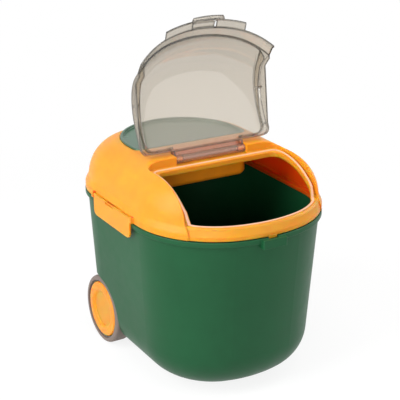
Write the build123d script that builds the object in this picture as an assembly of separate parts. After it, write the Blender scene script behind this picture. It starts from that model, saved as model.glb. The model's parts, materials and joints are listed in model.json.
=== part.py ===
from build123d import *
import os
from math import atan, degrees, sqrt, tan, radians

os.makedirs("parts", exist_ok=True)

# Wheeled feed bin. Millimetres, front towards -Y, up +Z, standing on z = 0.
# The shapes are drawn round the middle of the rim and moved by Y_SHIFT at the end,
# so that the outer box is centred on the origin.
Y_SHIFT = 2.9

# rim outline seen from above
HALF_W = 150.0
HALF_D = 192.0
R_REAR = 110.0
R_FRONT = 130.4
R_BOW = 202.8

# bin
RIM_Z = 259.5
FLOOR_Z = 5.4
WALL_INSET = 3.4
WALL_SLOPE = 0.0675
WALL = 2.8
BOTTOM_R = 63.0
FLANGE_H = 8.0
LUG_HALF = 20.0
LUG_Y = -198.3

# wheels
AXLE_Y = 97.65
AXLE_Z = 55.7
TYRE_R = 55.7
WHEEL_OUT = 133.0
WHEEL_IN = 105.0
CORE_R = 48.0
HUB_R = 45.2
ARCH_R = 59.7
ARCH_X = 98.0

# dome
DOME_Z = 261.0
BAND_TOP = 270.0
CREASE_TOP = 279.0
CREASE_K = 4.6
CREASE_R = 8.0
PLATEAU = 338.5
SHOULDER_K = 3.0
SHOULDER_DEG = 10.0
SHOULDER_R = 58.0
SKIN = 2.6
COLLAR_LOW = 257.2

# seat of the flip lid and mouth
SEAT_HALF = 113.5
SEAT_REAR = -24.5
SHELF_Z = 325.5
FRONT_SEAT_Z = 279.0
GUTTER_IN = 110.5
GUTTER_DEEP = 8.0
FRONT_LIP_R = 6.0
SEAT_EDGE_R = 1.0
MOUTH_HALF = 106.2
MOUTH_REAR = -40.0
MOUTH_K = 13.8
MOUTH_R = 36.0
JOINT_INSET = 0.8
SEAL_GAP = 1.0
SEAL_W = 2.9
SEAL_H = 0.9
SEAL_R = 29.0

# flip lid
HINGE_Y = -16.0
HINGE_Z = 331.5
LID_OPEN = 117.0
LID_HALF = 112.6
LID_REAR = -29.0
LID_SKIN = 2.0
BAND_GAP = 0.8
SKIRT_OVER = 1.6
RIB_HALF = 104.0
RIB_T = 1.6
RIB_K = 6.4
RIB_R = 26.0
LID_T = 1.8
DROP_REAR = (-47.0, 327.4)
DROP_FRONT = (-129.5, 298.0)
LID_LOW = 262.3
SKIRT_DEG = 22.0
LIP_TOP = 262.4
NECK_HALF = 19.2
SLOT_W = 0.9
GRIP_HALF = 26.5
TONGUE = 60.4
BARREL_R = 6.3
PIN_R = 2.0

# dished cover on the dome and tray under it
COVER_HALF = 98.5
COVER_FRONT = 31.0
COVER_Y = 64.0
COVER_R = 14.0
COVER_SEAT = 334.0
COVER_TOP = 339.2
HATCH_G = 18.7
TRAY_HALF = 82.0
TRAY_FRONT = 1.5
TRAY_R = 16.0
TRAY_LOW = 279.0
TRAY_WALL = 2.2

# side latches
FLAP_X = 151.0
FLAP_T = 3.2
FLAP_FRONT = -48.0
FLAP_BACK = 70.0
FLAP_LOW = 235.2
FLAP_PIN_X = 152.6
FLAP_PIN_Z = 267.0
FLAP_PIN_R = 1.0
WINDOW_FRONT = 3.0
WINDOW_BACK = 31.0


def plan(k, z=0.0):
    """Rim outline moved inward by k, as a face at height z."""
    bow_y = R_BOW - HALF_D
    cx = HALF_W - R_FRONT
    step = R_BOW - R_FRONT
    cy = bow_y - sqrt(step * step - cx * cx)
    bow = R_BOW - k
    corner = R_FRONT - k
    rear = R_REAR - k
    a = HALF_W - k
    b = HALF_D - k
    ux = cx / step
    uy = (cy - bow_y) / step
    meet = (bow * ux, bow_y + bow * uy)
    mx = ux + 1
    my = uy
    m = sqrt(mx * mx + my * my)
    mid = (cx + corner * mx / m, cy + corner * my / m)
    rx = HALF_W - R_REAR
    ry = HALF_D - R_REAR
    diag = (rx + rear * sqrt(0.5), ry + rear * sqrt(0.5))
    flip = lambda p: (-p[0], p[1])
    edges = [
        ThreePointArc(flip(meet), (0, bow_y - bow), meet),
        ThreePointArc(meet, mid, (a, cy)),
        Line((a, cy), (a, ry)),
        ThreePointArc((a, ry), diag, (rx, b)),
        Line((rx, b), (-rx, b)),
        ThreePointArc((-rx, b), flip(diag), (-a, ry)),
        Line((-a, ry), (-a, cy)),
        ThreePointArc((-a, cy), flip(mid), flip(meet)),
    ]
    return Pos(0, 0, z) * make_face(edges).face()


def prism(k, z0, z1):
    """Straight body on the outline."""
    return extrude(plan(k, z0), amount=z1 - z0)


def cone(k, z0, z1, deg):
    """Body on the outline that narrows by deg from z0 to z1."""
    face = plan(k, z0)
    if z1 < z0:
        face = -face
    return extrude(face, amount=abs(z1 - z0), taper=deg)


def ring(k_out, k_in, z0, z1):
    """Upright wall between two outlines."""
    return prism(k_out, z0, z1) - prism(k_in, z0 - 1, z1 + 1)


def block(x0, x1, y0, y1, z0, z1):
    """Box given by its corners."""
    box = Box(x1 - x0, y1 - y0, z1 - z0)
    return Pos((x0 + x1) / 2, (y0 + y1) / 2, (z0 + z1) / 2) * box


def pair(x0, x1, *rest):
    """The same box on both sides of the middle."""
    return block(x0, x1, *rest) + block(-x1, -x0, *rest)


def rod(r, x0, x1, y, z):
    """Cylinder along X."""
    return Pos((x0 + x1) / 2, y, z) * Rot(0, 90, 0) * Cylinder(r, abs(x1 - x0))


def rod_y(r, y0, y1, x, z):
    """Cylinder along Y."""
    return Pos(x, (y0 + y1) / 2, z) * Rot(90, 0, 0) * Cylinder(r, abs(y1 - y0))


def one(shape):
    """The single solid of a shape."""
    solids = shape.solids()
    return max(solids, key=lambda s: s.volume)


def flat_edges(shape, z):
    """Edges that lie wholly at height z."""
    found = []
    for edge in shape.edges():
        box = edge.bounding_box()
        if abs(box.min.Z - z) < 0.01 and box.size.Z < 0.02:
            found.append(edge)
    return found


def upright_edges(shape, y):
    """Vertical edges in front of y."""
    return [e for e in shape.edges().filter_by(Axis.Z) if e.center().Y < y]


def other_side(shape):
    """Left-hand twin of a right-hand piece."""
    return mirror(shape, about=Plane.YZ)


# Bin: drafted wall with a large bottom rounding.
def bin_form(inset, floor, r):
    deg = degrees(atan(WALL_SLOPE))
    form = cone(WALL_INSET + inset, RIM_Z + 0.5, floor, deg)
    return fillet(flat_edges(form, floor), r)


def wheel_arch(grow):
    """Space of the right-hand wheel, grown for the arch wall."""
    return rod(ARCH_R + grow, ARCH_X - grow, 175, AXLE_Y, AXLE_Z)


def make_bin():
    outer = bin_form(0, FLOOR_Z, BOTTOM_R)
    body = outer - bin_form(WALL, FLOOR_Z + 3, BOTTOM_R - 3)
    arch = wheel_arch(WALL)
    body = body + (arch & outer) + (other_side(arch) & outer)
    for side in (1, -1):
        boss = rod(14, side * 73, side * (ARCH_X - 0.5), AXLE_Y, AXLE_Z)
        body = body + boss
    cut = wheel_arch(0)
    body = body - cut - other_side(cut)
    for side in (1, -1):
        body = body - rod(5, side * 75, side * 110, AXLE_Y, AXLE_Z)
    flange = prism(-0.5, RIM_Z - FLANGE_H, RIM_Z)
    flange = fillet(flat_edges(flange, RIM_Z) + flat_edges(flange, RIM_Z - FLANGE_H), 1.5)
    body = body + (flange - prism(5.2, 240, 270))
    lug = block(-LUG_HALF, LUG_HALF, LUG_Y, -186, 245, 258.3)
    lug = fillet(lug.edges().filter_by(Axis.Z).group_by(Axis.Y)[0], 2)
    body = body + (lug - prism(4.4, 240, 262))
    body = body - block(-8, 8, -193.5, -187.5, 256.8, 262)
    body = body - block(-400, 400, -400, 400, RIM_Z, RIM_Z + 5)
    return one(body)


def foot():
    pad = Pos(44, -84, FLOOR_Z / 2) * Cylinder(13, FLOOR_Z)
    return fillet(flat_edges(pad, 0), 1.2)


# Wheels, drawn for the right-hand side.
def make_tyre():
    tyre = rod(TYRE_R, WHEEL_IN, WHEEL_OUT, AXLE_Y, AXLE_Z)
    tyre = fillet(tyre.edges(), 5)
    tyre = tyre - rod(CORE_R, WHEEL_IN - 1, WHEEL_OUT + 1, AXLE_Y, AXLE_Z)
    return one(tyre)


def make_rim():
    rim = rod(CORE_R, WHEEL_IN + 1.5, WHEEL_OUT - 2.8, AXLE_Y, AXLE_Z)
    rim = rim - rod(CORE_R - 4, WHEEL_IN, 112, AXLE_Y, AXLE_Z)
    rim = rim - rod(CORE_R - 2, 116, WHEEL_OUT, AXLE_Y, AXLE_Z)
    rim = rim + rod(12, WHEEL_IN - 0.6, 121, AXLE_Y, AXLE_Z)
    rib = block(WHEEL_IN + 3, 113, AXLE_Y - 1.5, AXLE_Y + 1.5, AXLE_Z + 11, AXLE_Z + CORE_R - 3)
    for i in range(6):
        turn = Pos(0, AXLE_Y, AXLE_Z) * Rot(i * 60, 0, 0) * Pos(0, -AXLE_Y, -AXLE_Z)
        rim = rim + turn * rib
    return one(rim - rod(5.05, WHEEL_IN - 5, 130, AXLE_Y, AXLE_Z))


def make_hub_cover():
    """Dished disc: raised round ring, lower flat middle, snap collar behind."""
    back = WHEEL_OUT - 5.4
    dish = WHEEL_OUT - 3.6
    crown = WHEEL_OUT - 0.2
    with BuildPart() as cover:
        with BuildSketch(Plane.XZ):
            with BuildLine():
                Line((0, back), (HUB_R, back))
                Line((HUB_R, back), (HUB_R, crown - 2.8))
                ThreePointArc((HUB_R, crown - 2.8), (HUB_R - 0.9, crown - 1.0), (HUB_R - 3, crown - 0.3))
                Line((HUB_R - 3, crown - 0.3), (HUB_R - 11, crown))
                ThreePointArc((HUB_R - 11, crown), (HUB_R - 14.3, crown - 0.9), (HUB_R - 17, dish))
                Line((HUB_R - 17, dish), (0, dish))
                Line((0, dish), (0, back))
            make_face()
        revolve(axis=Axis.Z)
    collar = Pos(0, 0, back - 2.2) * (Cylinder(HUB_R - 1.6, 4.6) - Cylinder(HUB_R - 3.4, 8))
    disc = cover.part + collar
    disc = Rot(0, 90, 0) * disc
    return one(Pos(0, AXLE_Y, AXLE_Z) * disc)


# Dome: straight band, soft crease, leaning shoulder rounded into a flat top.
def half_round(w, y0, r, z0, z1):
    """Upright body with a straight front at y0, corners of r and a round rear of radius w."""
    q = r * (1 - sqrt(0.5))
    yc = COVER_Y
    edges = [
        Line((-w + r, y0), (w - r, y0)),
        ThreePointArc((w - r, y0), (w - q, y0 + q), (w, y0 + r)),
        Line((w, y0 + r), (w, yc)),
        ThreePointArc((w, yc), (0, yc + w), (-w, yc)),
        Line((-w, yc), (-w, y0 + r)),
        ThreePointArc((-w, y0 + r), (-w + q, y0 + q), (-w + r, y0)),
    ]
    face = Pos(0, 0, z0) * make_face(edges).face()
    return extrude(face, amount=z1 - z0)


def cover_prism(g, z0, z1):
    """Body on the outline of the dished cover, made smaller by g."""
    return half_round(COVER_HALF - g, COVER_FRONT + g, max(COVER_R - g, 3), z0, z1)


def shoulder(inset, low):
    """Leaning shoulder with a round top edge, moved inward by inset."""
    k = SHOULDER_K + inset - (BAND_TOP - low) * tan(radians(SHOULDER_DEG))
    form = cone(k, low, PLATEAU - inset, SHOULDER_DEG)
    return fillet(flat_edges(form, PLATEAU - inset), SHOULDER_R - inset)


def dome_form():
    slope = CREASE_K / (CREASE_TOP - BAND_TOP)
    low = prism(0, DOME_Z, BAND_TOP) + cone(0, BAND_TOP, CREASE_TOP, degrees(atan(slope)))
    low = fillet(flat_edges(low, BAND_TOP), 6)
    form = low + shoulder(0, BAND_TOP - 2)
    crease_z = BAND_TOP + SHOULDER_K / (slope - tan(radians(SHOULDER_DEG)))
    form = fillet(flat_edges(form, crease_z), CREASE_R)
    return form + cover_prism(-1.2, 300, COVER_SEAT)


def dome_inside():
    low = prism(4.4, DOME_Z - 5, 268)
    return low + shoulder(SKIN, DOME_Z - 5) + cover_prism(1.4, 295, COVER_SEAT - SKIN)


def seat_line(lift):
    """Side view of the seat from the shelf to the front, moved up by lift."""
    p0 = (-10, SHELF_Z + lift)
    p1 = (-45, SHELF_Z + lift)
    p2 = (-97, SHELF_Z - 8.5 + lift)
    p3 = (-130.5, 295.4 + lift)
    p4 = (-137.5, FRONT_SEAT_Z + lift)
    p5 = (-260, FRONT_SEAT_Z + lift)
    return [Line(p0, p1), ThreePointArc(p1, p2, p3), Line(p3, p4), Line(p4, p5)]


def above_seat(lift, half):
    """Everything over the seat line, within half of the middle."""
    top = 420
    edges = seat_line(lift)
    edges = edges + [
        Line((-260, FRONT_SEAT_Z + lift), (-260, top)),
        Line((-260, top), (-10, top)),
        Line((-10, top), (-10, SHELF_Z + lift)),
    ]
    face = Plane.YZ * make_face(edges)
    return extrude(face, amount=half, both=True)


def seat_area(half, rear, r):
    """Plan of the seat: straight sides, round rear corners, open to the front."""
    face = Rectangle(2 * half, 300)
    face = Pos(0, rear - 150) * face
    corners = face.vertices().group_by(Axis.Y)[-1]
    return fillet(corners, r)


def area_prism(half, rear, r, z0=230, z1=420):
    return extrude(Pos(0, 0, z0) * seat_area(half, rear, r), amount=z1 - z0)


def bay(half, rear, r, k, front_r):
    """Upright body between straight sides, a rear line and the front bow, with round corners."""
    body = area_prism(half, rear, r) & prism(k, 230, 420)
    return fillet(upright_edges(body, -80), front_r)


def mouth(grow):
    """Clear shape of the mouth, grown by grow."""
    return bay(MOUTH_HALF + grow, MOUTH_REAR + grow, 16 + grow, MOUTH_K - grow, MOUTH_R + grow)


def lid_form(inset):
    """Outside of the closed flip lid, or its inside when inset."""
    k = inset - SKIRT_OVER
    skirt = prism(k, LID_LOW - 20, 267) + cone(k, 267, 282 - inset, SKIRT_DEG)
    return skirt + shoulder(inset, 266)


def front_lip():
    """Front band under the lid's skirt: leaning face with a round top edge."""
    inset = LID_SKIN + BAND_GAP
    k = inset - SKIRT_OVER
    top = fillet(flat_edges(cone(k, 267, FRONT_SEAT_Z, SKIRT_DEG), FRONT_SEAT_Z), FRONT_LIP_R)
    over = shoulder(inset, 266) - block(-200, 200, -250, 250, 200, FRONT_SEAT_Z)
    return prism(k, LID_LOW - 20, 267) + top + over


def gutter(wall):
    """Grooves for the lid's side skirts, grown by wall."""
    deep = above_seat(-GUTTER_DEEP - wall, 140)
    return deep & pair(GUTTER_IN - wall, SEAT_HALF + wall, -136 - wall, -48 + wall, 230, 420)


def hinge_notch(grow):
    return block(-61.4 - grow, 61.4 + grow, -27 - grow, -3 + grow, 324.5 - grow, 345)


def latch_wire(r):
    """Rod on the hinge line of the right-hand latch."""
    return rod_y(r, FLAP_FRONT - 5, FLAP_BACK + 5, FLAP_PIN_X, FLAP_PIN_Z)


def make_dome():
    outer = dome_form()
    recess = above_seat(0, SEAT_HALF) & area_prism(SEAT_HALF, SEAT_REAR, 13)
    form = one(outer - recess)
    top = flat_edges(form, PLATEAU)
    rear_edge = min(top, key=lambda e: abs(e.center().Y - SEAT_REAR))
    form = fillet(rear_edge, SEAT_EDGE_R)
    wide = SEAT_HALF + SKIN
    walls = above_seat(-SKIN, wide) & area_prism(wide, SEAT_REAR + SKIN, 15)
    dome = form - (dome_inside() - walls - gutter(SKIN) - hinge_notch(SKIN))
    dome = dome - gutter(0)
    for side in (1, -1):
        dome = dome + rod(5.2, side * 62, side * 74, HINGE_Y, HINGE_Z)
    # lip that hangs round the mouth
    lip = mouth(2.4) - above_seat(0, 140)
    lip = lip & above_seat(-8, 140)
    dome = dome + (lip & form)
    dome = dome - mouth(0) - hinge_notch(0)
    for side in (1, -1):
        dome = dome - rod(PIN_R + 0.05, side * 60, side * 72, HINGE_Y, HINGE_Z)
    # front band set back so that the lid's skirt closes over it
    front = block(-SEAT_HALF, SEAT_HALF, -240, -100, 250, 330)
    dome = dome - (front - front_lip())
    # way into the tray
    dome = dome - cover_prism(HATCH_G, 320, 345)
    dome = dome - cover_prism(-0.5, COVER_SEAT, 345)
    # web and collar that drop into the bin's rim
    dome = dome + ring(2, 9.4, 261.8, 264.4) + ring(7.2, 9.4, COLLAR_LOW, 263)
    # small tab in the rim's notch
    dome = dome + block(-6.5, 6.5, -191.0, -188.4, 257.4, 262.5)
    # ears that hold the latch wires
    for y in (FLAP_FRONT - 3.3, FLAP_BACK + 3.3):
        ear = block(147, 155, y - 2.7, y + 2.7, 261, 270.5)
        ear = fillet(ear.edges().filter_by(Axis.Y).group_by(Axis.X)[-1], 2.2)
        ear = ear - prism(3, 250, 290)
        dome = dome + ear + other_side(ear)
    wire = latch_wire(FLAP_PIN_R)
    dome = dome - wire - other_side(wire)
    # pockets behind the windows of the latches
    return one(dome - pair(147.2, 160, WINDOW_FRONT + 1, WINDOW_BACK - 1, 264.9, 268.6))


def make_rim_seal():
    # flat ring under the band, set back with it at the front, open at the rim's notch
    flat = ring(JOINT_INSET, 7.0, RIM_Z + 0.1, DOME_Z - 0.1)
    front = block(-SEAT_HALF - 1, SEAT_HALF + 1, -240, -100, 250, 270)
    flat = flat - (front - prism(LID_SKIN + BAND_GAP - SKIRT_OVER + JOINT_INSET, 250, 270))
    flat = flat - block(-7.5, 7.5, -240, -187.8, 250, 270)
    return one(flat + ring(4.6, 7.0, RIM_Z + 0.1, 261.8))


def make_opening_seal():
    w = MOUTH_HALF + SEAL_GAP
    k = MOUTH_K - SEAL_GAP
    outer = bay(w + SEAL_W, -31.5, 13, k - SEAL_W, SEAL_R)
    inner = bay(w, -35.3, 10, k, MOUTH_R)
    band = above_seat(0, 140) - above_seat(SEAL_H, 141)
    return one((outer - inner) & band)


def make_well():
    """Tray under the dome with a flat front wall."""
    top = COVER_SEAT - SKIN
    tray = half_round(TRAY_HALF, TRAY_FRONT, TRAY_R, TRAY_LOW, top)
    tray = fillet(flat_edges(tray, TRAY_LOW), 9)
    t = TRAY_WALL
    floor = TRAY_LOW + t
    inner = half_round(TRAY_HALF - t, TRAY_FRONT + t, TRAY_R - t, floor, top + 10)
    inner = fillet(flat_edges(inner, floor), 7)
    return one(tray - inner)


def make_well_cover():
    """Plate with a raised edge, a shallow dish and a plug for the hatch."""
    dish_z = 335.6
    cover = cover_prism(0.2, COVER_SEAT + 0.1, COVER_TOP)
    cover = fillet(flat_edges(cover, COVER_TOP), 1.4)
    dish = cover_prism(4.4, dish_z, 350)
    dish = fillet(flat_edges(dish, dish_z), 1.6)
    plug_g = HATCH_G + 0.8
    plug = cover_prism(plug_g, 322, 335) - cover_prism(plug_g + 2.2, 320, COVER_SEAT + 0.1)
    return one(cover - dish + plug)


# Flip lid, drawn closed.
def lid_area(grow, r):
    return area_prism(LID_HALF + grow, LID_REAR + grow, r)


def skirt_drop():
    """Everything over the straight lower edge of the lid's side skirts."""
    top = 420
    edges = [
        Line(DROP_REAR, DROP_FRONT),
        Line(DROP_FRONT, (DROP_FRONT[0], top)),
        Line((DROP_FRONT[0], top), (DROP_REAR[0], top)),
        Line((DROP_REAR[0], top), DROP_REAR),
    ]
    return extrude(Plane.YZ * make_face(edges), amount=140, both=True)


def make_flip_lid():
    outer = lid_form(0)
    inner = lid_form(LID_SKIN)
    over = above_seat(2.0, 140)
    front = block(-LID_HALF, LID_HALF, -240, -100, LID_LOW, 300)
    shell = outer - inner
    lid = shell & lid_area(0, 12)
    lid = lid & (over + front)
    # upright skirts along the sides and the rear, deeper where they drop into the gutters
    side = lid_area(0, 12) - lid_area(-LID_T, 10)
    side = side & outer & (over + skirt_drop()) & prism(3, 230, 420)
    lid = lid + side
    # rib inside the mouth, left open at the tongue
    rib = bay(RIB_HALF, -32.8, 12, RIB_K, RIB_R)
    rib = rib - bay(RIB_HALF - RIB_T, -32.8 - RIB_T, 10.4, RIB_K + RIB_T, RIB_R - RIB_T)
    rib = rib - block(-TONGUE, TONGUE, -60, 0, 250, 420)
    rib = rib & outer & above_seat(3.0, 140)
    lid = lid + rib
    posts = pair(TONGUE, 64, -35, -31.4, 328, 337.4)
    webs = pair(RIB_HALF - 1, 111.6, -103.7, -102.3, 300, 337.6)
    webs = webs + pair(RIB_HALF - 1, 111.6, -47.7, -46.3, 300, 337.6)
    webs = webs & outer & above_seat(5.0, 140)
    lid = lid + posts + webs + pair(84.3, 85.7, -34, -30, 331, 337.6)
    # tongue and hinge barrel
    plate = block(-TONGUE, TONGUE, -31, HINGE_Y, PLATEAU - 2.2, PLATEAU - 0.2)
    barrel = rod(BARREL_R, -TONGUE, TONGUE, HINGE_Y, HINGE_Z)
    lid = lid + barrel
    lid = lid + plate
    lid = lid + pair(58.2, TONGUE, -30.5, HINGE_Y, 328.4, PLATEAU - 0.3)
    for side in (1, -1):
        lid = lid - rod(PIN_R, side * 48, side * 70, HINGE_Y, HINGE_Z)
    lid = lid - rod(4.4, -48, 48, HINGE_Y, HINGE_Z)
    # finger lip along the skirt
    lip = cone(-10.2, 253.6, LIP_TOP, 45) - cone(-8.0, 253.6, LIP_TOP, 45)
    lid = lid + (lip & pair(NECK_HALF + SLOT_W, 68, -240, 0, 240, LIP_TOP))
    lid = lid - pair(NECK_HALF, NECK_HALF + SLOT_W, -240, -150, 240, 266)
    # catch tab: bulges over the lug and ends in a flared grip
    neck = cone(-9.6, 260, 268, 45) - cone(-7.4, 259.9, 269, 45)
    neck = neck + ring(-9.6, -7.4, 242.5, 260)
    neck = neck & block(-NECK_HALF, NECK_HALF, -240, -150, 240, 268)
    grip = cone(-13.0, 242.5, 246.3, 42) - prism(-7.4, 240, 250)
    grip = grip & extrude(Pos(0, -165.5, 240) * RectangleRounded(2 * GRIP_HALF, 80, 6), amount=10)
    hook = ring(-8, -6.0, 242.5, 244.0) & block(-10, 10, -240, -150, 240, 250)
    lid = lid + neck + grip + hook
    return one(lid)


def opened(shape):
    """Turn a closed flip-lid piece to the open pose."""
    turn = Pos(0, HINGE_Y, HINGE_Z) * Rot(-LID_OPEN, 0, 0) * Pos(0, -HINGE_Y, -HINGE_Z)
    return turn * shape


# Side latch, drawn for the right-hand side.
def make_latch():
    width = FLAP_BACK - FLAP_FRONT
    mid = (FLAP_BACK + FLAP_FRONT) / 2
    face = Pos(mid, (FLAP_LOW + FLAP_PIN_Z) / 2) * Rectangle(width, FLAP_PIN_Z - FLAP_LOW)
    low = face.vertices().group_by(Axis.Y)[0].sort_by(Axis.X)
    face = fillet(low[0], 9)
    low = face.vertices().group_by(Axis.X)[-1].sort_by(Axis.Y)
    face = fillet(low[0], 10)
    flap = extrude(Plane.YZ.offset(FLAP_X) * face, amount=FLAP_T)
    flap = fillet(flap.faces().sort_by(Axis.X)[-1].edges(), 1)
    flap = flap + rod_y(1.9, FLAP_FRONT, FLAP_BACK, FLAP_PIN_X, FLAP_PIN_Z)
    flap = flap - block(FLAP_X - 2, FLAP_X + 5, WINDOW_FRONT, WINDOW_BACK, 264.4, 275)
    bead = block(148.4, FLAP_X + 0.2, FLAP_FRONT + 13, FLAP_BACK - 13, 248, 250.6)
    flap = flap + bead
    return one(flap - latch_wire(FLAP_PIN_R + 0.05))


PARTS = {}
PARTS["bin_body"] = make_bin()
PARTS["lid_dome"] = make_dome()
PARTS["lid_rim_seal"] = make_rim_seal()
PARTS["opening_seal"] = make_opening_seal()
PARTS["storage_well"] = make_well()
PARTS["well_cover"] = make_well_cover()
PARTS["flip_lid"] = opened(make_flip_lid())

PAIRS = {
    "foot_pad": foot(),
    "wheel_tyre": make_tyre(),
    "wheel_rim": make_rim(),
    "hub_cover": make_hub_cover(),
    "axle_pin": rod(5, 75, 125, AXLE_Y, AXLE_Z),
    "axle_washer": rod(9, ARCH_X, WHEEL_IN - 1, AXLE_Y, AXLE_Z) - rod(5, 90, 110, AXLE_Y, AXLE_Z),
    "axle_retainer": rod(8.5, 121.5, 123.5, AXLE_Y, AXLE_Z) - rod(5, 115, 130, AXLE_Y, AXLE_Z),
    "hinge_pin": opened(rod(PIN_R, 48, 71, HINGE_Y, HINGE_Z)),
    "latch": make_latch(),
    "latch_pin": latch_wire(FLAP_PIN_R),
}
for name, piece in PAIRS.items():
    PARTS[name + "_right"] = one(piece)
    PARTS[name + "_left"] = one(other_side(piece))

for name, piece in PARTS.items():
    export_step(Pos(0, Y_SHIFT, 0) * piece, "parts/" + name + ".step")
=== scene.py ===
import json
import math

import bpy
from mathutils import Matrix, Vector

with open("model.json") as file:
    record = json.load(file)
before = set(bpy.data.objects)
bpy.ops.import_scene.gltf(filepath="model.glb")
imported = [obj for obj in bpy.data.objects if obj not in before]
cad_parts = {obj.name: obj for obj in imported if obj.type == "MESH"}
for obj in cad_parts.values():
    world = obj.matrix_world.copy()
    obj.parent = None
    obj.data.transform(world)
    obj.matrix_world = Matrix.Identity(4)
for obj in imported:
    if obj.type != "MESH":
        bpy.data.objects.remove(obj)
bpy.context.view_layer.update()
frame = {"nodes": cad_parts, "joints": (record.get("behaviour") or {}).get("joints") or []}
nodes = frame["nodes"]
joints = {joint["name"]: joint for joint in frame["joints"]}

# Camera that took the photo, in metres and degrees, on an image of 400 by 400 pixels
IMAGE_PIXELS = 400
FOCAL_PIXELS = 1132.2
SENSOR_MM = 36.0
CAMERA_AZIMUTH = -30.77
CAMERA_ELEVATION = 20.82
CAMERA_ROLL = 0.3
CAMERA_DISTANCE = 1.7495
AIM_SIDEWAYS = -0.0057
AIM_DEPTH = 0.0029
AIM_HEIGHT = 0.2513
CLIP_NEAR = 0.05
CLIP_FAR = 100.0

# Studio: lengths in metres, brightness as shares of white
FLOOR_SIZE = 24.0
FLOOR_DROP = 0.0003
FLOOR_ALBEDO = 0.8
FLOOR_SHOWN = 0.17
FLOOR_LIFT = 0.85
SHADE_FADE = (0.35, 1.1)
AMBIENT = 0.20
LAMP_AIM = Vector((0.0, 0.0, 0.25))

# Where the painted shade on the dome's inner cheeks lies, in metres, and how it fades to the front
DOME_MIDDLE = (0.0, 0.0, 0.30)
INWARD_LEAN = (0.0, -0.02)
MOUTH_SIDE = (0.1142, 0.1160)
CHEEK_FADE = (-0.130, -0.085)
CHEEK_SHARE = (0.35, 1.0)

# Moulded surfaces: noise scales are counts per metre, spans are where a noise or a lean becomes a mask
DRIFT_SCALE = 7.0
PATCH_SCALE = 55.0
DRIFT_SHARE = 0.7
TONE_SPAN = (0.35, 0.68)
PATCH_SPAN = (0.3, 0.7)
PATCH_ROUGH = (-0.03, 0.03)
RIPPLE_SCALE = 90.0
GRAIN_SHARE = 0.5
RUB_TURN = (0.4, 0.2, 0.7)
RUB_STRETCH = (14.0, 240.0, 240.0)
RUB_SPAN = (0.60, 0.72)
RUB_ROUGH = 0.05
HANDLED_SCALE = 11.0
HANDLED_SPAN = (0.5, 0.75)
EDGE_SAMPLES = 6
EDGE_LEAN = (0.99, 0.80)
CHIP_SCALE = 120.0
CHIP_SPAN = (0.38, 0.62)
WORN_SHARE = 0.25
PALE_GAIN = 1.25
PALE_LIFT = 0.02
MOULDED_BUMP = 0.6

# Finishes, as linear colours
WHITE = (1.0, 1.0, 1.0, 1.0)
GREEN = (0.0085, 0.082, 0.029, 1.0)
GREEN_DEEP = (0.0070, 0.069, 0.024, 1.0)
ORANGE = (0.84, 0.315, 0.020, 1.0)
ORANGE_DEEP = (0.80, 0.275, 0.014, 1.0)
# Painted shade of the dome's inner cheeks, darker and redder than the orange
ORANGE_INSIDE_SHADE = (0.68, 0.072, 0.003, 1.0)
# Painted light: the storage well's orange made brighter than the dome's, to lift its shaded face
ORANGE_TRAY_LIT = (1.0, 0.335, 0.006, 1.0)
SMOKE = (0.595, 0.550, 0.478, 1.0)
# Smoky lid's dark edges and slants: partly the longer path through the tint, partly painted shade
SMOKE_EDGE_SHADE = (0.035, 0.030, 0.024, 1.0)
# Painted light near the lid's hinge: the dome's orange as seen through the hinge barrel
SMOKE_SEEN_ORANGE = (0.64, 0.475, 0.385, 1.0)
SMOKE_SHADOW = (0.70, 0.66, 0.60, 1.0)
SEAL_PINK = (0.90, 0.53, 0.36, 1.0)
SEAL_DEEP = (0.82, 0.45, 0.28, 1.0)
TYRE_GREY = (0.215, 0.172, 0.150, 1.0)
TYRE_DEEP = (0.175, 0.138, 0.120, 1.0)
CORE_GREY = (0.16, 0.15, 0.145, 1.0)
CORE_DEEP = (0.12, 0.112, 0.108, 1.0)
RUBBER_BLACK = (0.010, 0.010, 0.010, 1.0)
RUBBER_DEEP = (0.007, 0.007, 0.007, 1.0)
STEEL = (0.62, 0.62, 0.63, 1.0)
STEEL_DEEP = (0.50, 0.50, 0.52, 1.0)

# Light that soaks into the orange walls: depth in metres, and the share of it for red, green and blue
GLOW_SHARE = 0.8
GLOW_DEPTH = 0.010
ORANGE_GLOW = (1.0, 0.10, 0.01)

# Smoky lid: sizes in metres, and the spans and shares of its darker edges and slants, partly painted shade,
# and of the painted orange near its hinge
SMOKE_CLEAR = 0.86
SMOKE_IOR = 1.49
SMOKE_ROUGH = 0.05
SMOKE_GRAIN = 0.003
SMOKE_BUMP = 0.03
SMOKE_DEPTH = 0.00002
SMOKE_EDGE_RADIUS = 0.0032
SLANT_SPAN = (0.50, 0.90)
SLANT_SHARE = 0.75
RIM_SPAN = (0.0, 0.4)
RIM_SHARE = 0.95
HINGE_FADE = (0.021, 0.015)
ACROSS_HINGE = (0.0, 1.0, 1.0)

# Steel: sizes in metres
STEEL_ROUGH = 0.3
STEEL_GRAIN = 0.0004
STEEL_BUMP = 0.4
STEEL_DEPTH = 0.00002

# Kinds of socket on a node group
FLOAT = "NodeSocketFloat"
COLOUR = "NodeSocketColor"
VECTOR = "NodeSocketVector"


def turned(azimuth, elevation):
    """Unit vector from the object towards a viewer at that azimuth and elevation, in degrees."""
    a = math.radians(azimuth)
    e = math.radians(elevation)
    return Vector((math.sin(a) * math.cos(e), -math.cos(a) * math.cos(e), math.sin(e)))


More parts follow.
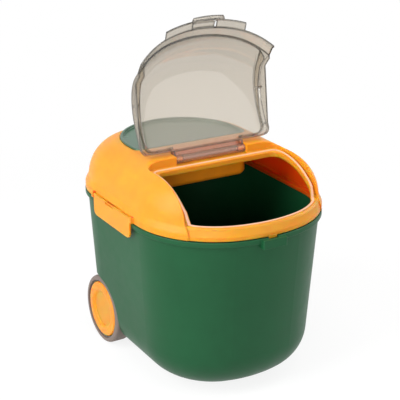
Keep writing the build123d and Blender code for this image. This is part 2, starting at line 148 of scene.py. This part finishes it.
def place_camera():
    """Camera on the photo's viewing line, rolled about it by CAMERA_ROLL."""
    back = turned(CAMERA_AZIMUTH, CAMERA_ELEVATION)
    a = math.radians(CAMERA_AZIMUTH)
    right = Vector((math.cos(a), math.sin(a), 0.0))
    up = back.cross(right)
    aim = right * AIM_SIDEWAYS + Vector((0.0, AIM_DEPTH, AIM_HEIGHT))
    r = math.radians(CAMERA_ROLL)
    across = right * math.cos(r) + up * math.sin(r)
    upward = up * math.cos(r) - right * math.sin(r)
    data = bpy.data.cameras.new("photo_camera")
    data.sensor_width = SENSOR_MM
    data.lens = FOCAL_PIXELS / IMAGE_PIXELS * SENSOR_MM
    data.clip_start = CLIP_NEAR
    data.clip_end = CLIP_FAR
    camera = bpy.data.objects.new("photo_camera", data)
    bpy.context.scene.collection.objects.link(camera)
    turn = Matrix((across, upward, back)).transposed().to_4x4()
    camera.matrix_world = Matrix.Translation(aim + back * CAMERA_DISTANCE) @ turn
    bpy.context.scene.camera = camera


class Nodes:
    """Short way to add and join shader nodes in one tree."""

    def __init__(self, tree):
        self.tree = tree

    def feed(self, made, key, value):
        """Sets or links one input, named or numbered."""
        socket = made.inputs[key]
        if isinstance(value, bpy.types.NodeSocket):
            self.tree.links.new(value, socket)
        else:
            socket.default_value = value

    def add(self, kind, settings=None, **inputs):
        """Node of that kind with its properties set, and its named inputs set or linked."""
        made = self.tree.nodes.new(kind)
        for name, value in (settings or {}).items():
            setattr(made, name, value)
        for name, value in inputs.items():
            self.feed(made, name.replace("_", " "), value)
        return made

    def add_in_order(self, kind, settings, *values):
        """Node of that kind with its properties set, and its first inputs set or linked in their order."""
        made = self.add(kind, settings)
        for number, value in enumerate(values):
            self.feed(made, number, value)
        return made

    def math(self, operation, a, b=0.0, clamp=False):
        """Arithmetic on one or two numbers."""
        settings = {"operation": operation, "use_clamp": clamp}
        return self.add_in_order("ShaderNodeMath", settings, a, b).outputs[0]

    def weigh(self, a, b, share):
        """That share of a and the rest of b."""
        return self.math("ADD", self.math("MULTIPLY", a, share), self.math("MULTIPLY", b, 1.0 - share))

    def vector(self, operation, *vectors):
        """Arithmetic on one or two vectors, which gives a number for a dot product or a length."""
        made = self.add_in_order("ShaderNodeVectorMath", {"operation": operation}, *vectors)
        return made.outputs["Value" if operation in ("DOT_PRODUCT", "LENGTH") else "Vector"]

    def mix(self, share, a, b):
        """Colour between a and b. The node's colours are its inputs 6 and 7 and its output 2."""
        made = self.add("ShaderNodeMix", {"data_type": "RGBA"})
        for number, value in ((0, share), (6, a), (7, b)):
            self.feed(made, number, value)
        return made.outputs[2]

    def spread(self, value, span, onto=(0.0, 1.0)):
        """Value carried from one range onto another, held at the ends."""
        return self.add_in_order("ShaderNodeMapRange", {"clamp": True}, value, *span, *onto).outputs[0]

    def noise(self, place, scale, detail):
        """Noise about 0.5, with that many waves to a unit of place."""
        return self.add("ShaderNodeTexNoise", Vector=place, Scale=scale, Detail=detail).outputs[0]

    def group(self, tree, **inputs):
        """Outputs of a node group placed with those inputs."""
        return self.add("ShaderNodeGroup", {"node_tree": tree}, **inputs).outputs

    def blend(self, share, first, second):
        """Shader between two shaders."""
        return self.add_in_order("ShaderNodeMixShader", {}, share, first, second).outputs[0]


def new_group(name, inputs, outputs):
    """Empty shader node group with named sockets, its node helper, what it is given and its output node."""
    tree = bpy.data.node_groups.new(name, "ShaderNodeTree")
    for label, kind in inputs.items():
        tree.interface.new_socket(label, in_out="INPUT", socket_type=kind)
    for label, kind in outputs.items():
        tree.interface.new_socket(label, in_out="OUTPUT", socket_type=kind)
    n = Nodes(tree)
    return tree, n, n.add("NodeGroupInput").outputs, n.add("NodeGroupOutput")


def moulded_group():
    """Moulded surface: slow tone drift, fine spark grain and faint rub marks.

    Colour lies between two colours by a slow noise and a patchy one.
    Height is the mean of a fine grain and a slow ripple.
    Roughness is the given one moved by the patches, and raised by thin stretched marks where it is handled.
    """
    tree, n, given, out = new_group(
        "moulded_surface",
        {"Colour": COLOUR, "Deep": COLOUR, "Roughness": FLOAT, "Grain Size": FLOAT},
        {"Colour": COLOUR, "Roughness": FLOAT, "Height": FLOAT},
    )
    place = n.add("ShaderNodeTexCoord").outputs["Object"]
    drift = n.noise(place, DRIFT_SCALE, detail=3.0)
    patch = n.noise(place, PATCH_SCALE, detail=4.0)
    tone = n.spread(n.weigh(drift, patch, DRIFT_SHARE), TONE_SPAN)
    n.feed(out, "Colour", n.mix(tone, given["Deep"], given["Colour"]))
    grain = n.noise(place, n.math("DIVIDE", 1.0, given["Grain Size"]), detail=1.0)
    ripple = n.noise(place, RIPPLE_SCALE, detail=1.0)
    n.feed(out, "Height", n.weigh(grain, ripple, GRAIN_SHARE))
    stretched = n.add("ShaderNodeMapping", Vector=place, Rotation=RUB_TURN, Scale=RUB_STRETCH).outputs[0]
    marks = n.spread(n.noise(stretched, scale=1.0, detail=2.0), RUB_SPAN)
    handled = n.spread(n.noise(place, HANDLED_SCALE, detail=2.0), HANDLED_SPAN)
    rub = n.math("MULTIPLY", n.math("MULTIPLY", marks, handled), RUB_ROUGH)
    rough = n.math("ADD", given["Roughness"], n.spread(patch, PATCH_SPAN, PATCH_ROUGH))
    n.feed(out, "Roughness", n.math("ADD", rough, rub, clamp=True))
    return tree


def edge_group():
    """Edge mask: how far a rounded normal leans from the face's own normal, whole and broken up by noise."""
    tree, n, given, out = new_group(
        "edge_wear", {"Radius": FLOAT}, {"Normal": VECTOR, "Edge": FLOAT, "Mask": FLOAT},
    )
    place = n.add("ShaderNodeTexCoord").outputs["Object"]
    rounded = n.add("ShaderNodeBevel", {"samples": EDGE_SAMPLES}, Radius=given["Radius"]).outputs[0]
    face = n.add("ShaderNodeNewGeometry").outputs["Normal"]
    edge = n.spread(n.vector("DOT_PRODUCT", rounded, face), EDGE_LEAN)
    broken = n.spread(n.noise(place, CHIP_SCALE, detail=3.0), CHIP_SPAN)
    n.feed(out, "Normal", rounded)
    n.feed(out, "Edge", edge)
    n.feed(out, "Mask", n.math("MULTIPLY", edge, broken))
    return tree


def painted_cheek_shade_group():
    """Mask of painted shade on the dome's inner cheeks: normal towards the middle, outside the mouth, fading
    to the front.

    The lean towards the middle is the dot product of the normal and the way from the middle of the dome,
    which is below zero on an inner wall.
    """
    tree, n, _, out = new_group("painted_cheek_shade", {}, {"Mask": FLOAT})
    spot = n.add("ShaderNodeTexCoord").outputs
    away = n.vector("SUBTRACT", spot["Object"], DOME_MIDDLE)
    inward = n.spread(n.vector("DOT_PRODUCT", away, spot["Normal"]), INWARD_LEAN)
    xyz = n.add("ShaderNodeSeparateXYZ", Vector=spot["Object"]).outputs
    beyond = n.spread(n.math("ABSOLUTE", xyz["X"]), MOUTH_SIDE)
    rear = n.spread(xyz["Y"], CHEEK_FADE, CHEEK_SHARE)
    n.feed(out, "Mask", n.math("MULTIPLY", n.math("MULTIPLY", inward, beyond), rear))
    return tree


def new_material(name):
    """Material with an empty tree, its node helper and its output."""
    material = bpy.data.materials.new(name)
    material.use_nodes = True
    material.node_tree.nodes.clear()
    n = Nodes(material.node_tree)
    return material, n, n.add("ShaderNodeOutputMaterial")


def moulded(name, colour, deep, groups, rough, specular, grain=0.0008, depth=0.00003, edge=0.0012,
            glow=None, inside_shade=None):
    """Moulded finish with grain, tone drift, rounded edges and slightly paler worn edges.

    Grain, depth and edge are the grain's size and depth and the edges' radius, in metres.
    Glow is how far red, green and blue light soak into the wall, as shares of GLOW_DEPTH.
    The inside colour is painted shade: a darker, redder orange on the dome's inner cheeks, where little
    direct light reaches.
    """
    material, n, out = new_material(name)
    surface = n.group(groups["moulded"], Colour=colour, Deep=deep, Roughness=rough, Grain_Size=grain)
    edges = n.group(groups["edge"], Radius=edge)
    pale = [min(1.0, PALE_GAIN * c + PALE_LIFT) for c in colour[:3]] + [1.0]
    shown = n.mix(n.math("MULTIPLY", edges["Mask"], WORN_SHARE), surface["Colour"], pale)
    # Painted shade: the dome's inner cheeks turn a darker, redder orange where little light reaches
    if inside_shade:
        shown = n.mix(n.group(groups["inner"])["Mask"], shown, inside_shade)
    bump = n.add("ShaderNodeBump", Strength=MOULDED_BUMP, Distance=depth,
                 Height=surface["Height"], Normal=edges["Normal"])
    shader = n.add("ShaderNodeBsdfPrincipled", Base_Color=shown, Roughness=surface["Roughness"],
                   Specular_IOR_Level=specular, Normal=bump.outputs[0])
    if glow:
        n.feed(shader, "Subsurface Weight", GLOW_SHARE)
        n.feed(shader, "Subsurface Radius", glow)
        n.feed(shader, "Subsurface Scale", GLOW_DEPTH)
    n.feed(out, "Surface", shader.outputs[0])
    return material


def axle_steel(groups):
    """Bare steel with a fine grain and faint rub marks."""
    material, n, out = new_material("drawn_steel")
    surface = n.group(groups["moulded"], Colour=STEEL, Deep=STEEL_DEEP, Roughness=STEEL_ROUGH,
                      Grain_Size=STEEL_GRAIN)
    bump = n.add("ShaderNodeBump", Strength=STEEL_BUMP, Distance=STEEL_DEPTH, Height=surface["Height"])
    shader = n.add("ShaderNodeBsdfPrincipled", Base_Color=surface["Colour"], Metallic=1.0,
                   Roughness=surface["Roughness"], Normal=bump.outputs[0])
    n.feed(out, "Surface", shader.outputs[0])
    return material


def smoky_clear(groups):
    """See-through smoky plastic: refracts, tints what lies behind it, and casts a tinted shadow.

    It is darker along its edges and where the wall is seen at a slant: partly the longer path through the
    tint, and partly painted shade. Near the hinge it is warmer, with the dome's orange seen through the
    barrel painted on.
    """
    material, n, out = new_material("smoky_clear_plastic")
    surface = n.group(groups["moulded"], Colour=SMOKE, Deep=SMOKE, Roughness=SMOKE_ROUGH,
                      Grain_Size=SMOKE_GRAIN)
    edges = n.group(groups["edge"], Radius=SMOKE_EDGE_RADIUS)
    slant = n.add("ShaderNodeLayerWeight").outputs["Facing"]
    # Darker at slants and edges: partly the longer path through the tinted wall, partly painted shade
    thick_and_shade = n.math("MULTIPLY", n.spread(slant, SLANT_SPAN), SLANT_SHARE)
    rim = n.math("MULTIPLY", n.spread(edges["Edge"], RIM_SPAN), RIM_SHARE)
    place = n.add("ShaderNodeTexCoord").outputs["Object"]
    from_hinge = n.vector("SUBTRACT", place, joints["flip_lid_hinge"]["pos_m"])
    reach = n.vector("LENGTH", n.vector("MULTIPLY", from_hinge, ACROSS_HINGE))
    # Painted light: warm tint near the hinge, standing in for the dome's orange seen through the barrel
    tint = n.mix(n.spread(reach, HINGE_FADE), surface["Colour"], SMOKE_SEEN_ORANGE)
    shown = n.mix(n.math("MAXIMUM", thick_and_shade, rim), tint, SMOKE_EDGE_SHADE)
    bump = n.add("ShaderNodeBump", Strength=SMOKE_BUMP, Distance=SMOKE_DEPTH, Height=surface["Height"])
    shader = n.add("ShaderNodeBsdfPrincipled", Base_Color=shown, Roughness=surface["Roughness"],
                   IOR=SMOKE_IOR, Transmission_Weight=SMOKE_CLEAR, Normal=bump.outputs[0])
    clear = n.add("ShaderNodeBsdfTransparent", Color=SMOKE_SHADOW)
    shadow = n.add("ShaderNodeLightPath").outputs["Is Shadow Ray"]
    n.feed(out, "Surface", n.blend(shadow, shader.outputs[0], clear.outputs[0]))
    return material


def seen_rays(n):
    """One where the eye looks straight, by reflection or through glass."""
    path = n.add("ShaderNodeLightPath").outputs
    seen = n.math("MAXIMUM", path["Is Camera Ray"], path["Is Glossy Ray"])
    return n.math("MAXIMUM", seen, path["Is Transmission Ray"])


def matt_grey(n, level):
    """Plain matt shader of that grey level."""
    return n.add("ShaderNodeBsdfDiffuse", Color=(level, level, level, 1.0)).outputs[0]


def make_floor():
    """Plain pale floor: a flat square that keeps a soft shadow near the object and looks white beyond.

    Where it is seen it is a darker matt with a plain white added, so that the shadow stays soft.
    """
    h = FLOOR_SIZE / 2
    mesh = bpy.data.meshes.new("studio_floor")
    corners = [(-h, -h, -FLOOR_DROP), (h, -h, -FLOOR_DROP), (h, h, -FLOOR_DROP), (-h, h, -FLOOR_DROP)]
    mesh.from_pydata(corners, [], [(0, 1, 2, 3)])
    floor = bpy.data.objects.new("studio_floor", mesh)
    bpy.context.scene.collection.objects.link(floor)
    material, n, out = new_material("pale_floor")
    lift = n.add("ShaderNodeEmission", Color=WHITE, Strength=FLOOR_LIFT).outputs[0]
    near = n.add_in_order("ShaderNodeAddShader", {}, matt_grey(n, FLOOR_SHOWN), lift).outputs[0]
    beyond = n.add("ShaderNodeEmission", Color=WHITE, Strength=1.0).outputs[0]
    reach = n.vector("LENGTH", n.add("ShaderNodeTexCoord").outputs["Object"])
    shown = n.blend(n.spread(reach, SHADE_FADE), near, beyond)
    n.feed(out, "Surface", n.blend(seen_rays(n), matt_grey(n, FLOOR_ALBEDO), shown))
    mesh.materials.append(material)


def make_world():
    """White to the eye, a plain soft level as light."""
    world = bpy.data.worlds.new("studio_world")
    world.use_nodes = True
    world.node_tree.nodes.clear()
    n = Nodes(world.node_tree)
    out = n.add("ShaderNodeOutputWorld")
    level = n.spread(seen_rays(n), (0.0, 1.0), (AMBIENT, 1.0))
    n.feed(out, "Surface", n.add("ShaderNodeBackground", Color=WHITE, Strength=level).outputs[0])
    bpy.context.scene.world = world


def soft_box(name, azimuth, elevation, distance, width, height, watts):
    """Large soft lamp that faces the middle of the object, in degrees, metres and watts."""
    data = bpy.data.lights.new(name, "AREA")
    data.shape = "RECTANGLE"
    data.size = width
    data.size_y = height
    data.energy = watts
    lamp = bpy.data.objects.new(name, data)
    bpy.context.scene.collection.objects.link(lamp)
    back = turned(azimuth, elevation)
    lamp.location = LAMP_AIM + back * distance
    lamp.rotation_mode = "QUATERNION"
    lamp.rotation_quaternion = (-back).to_track_quat("-Z", "Y")


def dress(material, names):
    """Gives CAD nodes their finish."""
    for name in names:
        node = nodes[name]
        node.data.materials.clear()
        node.data.materials.append(material)


def both(*names):
    """Left and right node of each name."""
    return [name + side for name in names for side in ("_left", "_right")]


place_camera()
make_world()
make_floor()
soft_box("box_left", azimuth=-87.0, elevation=30.0, distance=1.7, width=1.1, height=1.5, watts=28.5)
soft_box("box_front", azimuth=-35.0, elevation=12.0, distance=2.2, width=1.0, height=0.8, watts=15.0)
soft_box("box_window", azimuth=32.0, elevation=28.5, distance=1.9, width=1.0, height=1.3, watts=5.2)
soft_box("box_right", azimuth=85.0, elevation=32.0, distance=1.9, width=1.0, height=1.4, watts=12.0)
soft_box("box_top", azimuth=-20.0, elevation=78.0, distance=1.8, width=1.4, height=1.2, watts=14.0)

groups = {"moulded": moulded_group(), "edge": edge_group(), "inner": painted_cheek_shade_group()}
satin = {"groups": groups, "rough": 0.40, "specular": 0.25, "edge": 0.0022}
rubbery = {"groups": groups, "grain": 0.0006, "depth": 0.00006}
green = moulded("green_moulded", GREEN, GREEN_DEEP, groups, rough=0.42, specular=0.21)
cover = moulded("green_cover", GREEN, GREEN_DEEP, groups, rough=0.24, specular=0.75)
orange = moulded("orange_moulded", ORANGE, ORANGE_DEEP, glow=ORANGE_GLOW, **satin)
# The dome's orange carries painted shade on its inner cheeks
dome = moulded("orange_dome", ORANGE, ORANGE_DEEP, glow=ORANGE_GLOW, inside_shade=ORANGE_INSIDE_SHADE, **satin)
# The storage well's brighter orange is painted light: the dome's plastic, lifted so that it looks more lit
tray = moulded("orange_tray_lit", ORANGE_TRAY_LIT, ORANGE_DEEP, **satin)
tyre = moulded("tyre_grey", TYRE_GREY, TYRE_DEEP, rough=0.62, specular=0.35, **rubbery)
rubber = moulded("black_rubber", RUBBER_BLACK, RUBBER_DEEP, rough=0.7, specular=0.2, **rubbery)
core = moulded("wheel_core_grey", CORE_GREY, CORE_DEEP, groups, rough=0.5, specular=0.4)
seal = moulded("seal_pink", SEAL_PINK, SEAL_DEEP, groups, rough=0.5, specular=0.4, grain=0.0005, edge=0.0006)
steel = axle_steel(groups)
smoky = smoky_clear(groups)

dress(green, ["bin_body"])
dress(cover, ["well_cover"])
dress(dome, ["lid_dome"])
dress(tray, ["storage_well"])
dress(orange, both("hub_cover", "latch", "hinge_pin", "latch_pin"))
dress(smoky, ["flip_lid"])
dress(seal, ["opening_seal"])
dress(tyre, both("wheel_tyre"))
dress(core, both("wheel_rim", "axle_washer"))
# The lid's rim seal takes the black rubber too, so the joint under the dome's band shows dark
dress(rubber, ["lid_rim_seal"] + both("foot_pad"))
dress(steel, both("axle_pin", "axle_retainer"))

bpy.context.scene.view_settings.view_transform = "Standard"
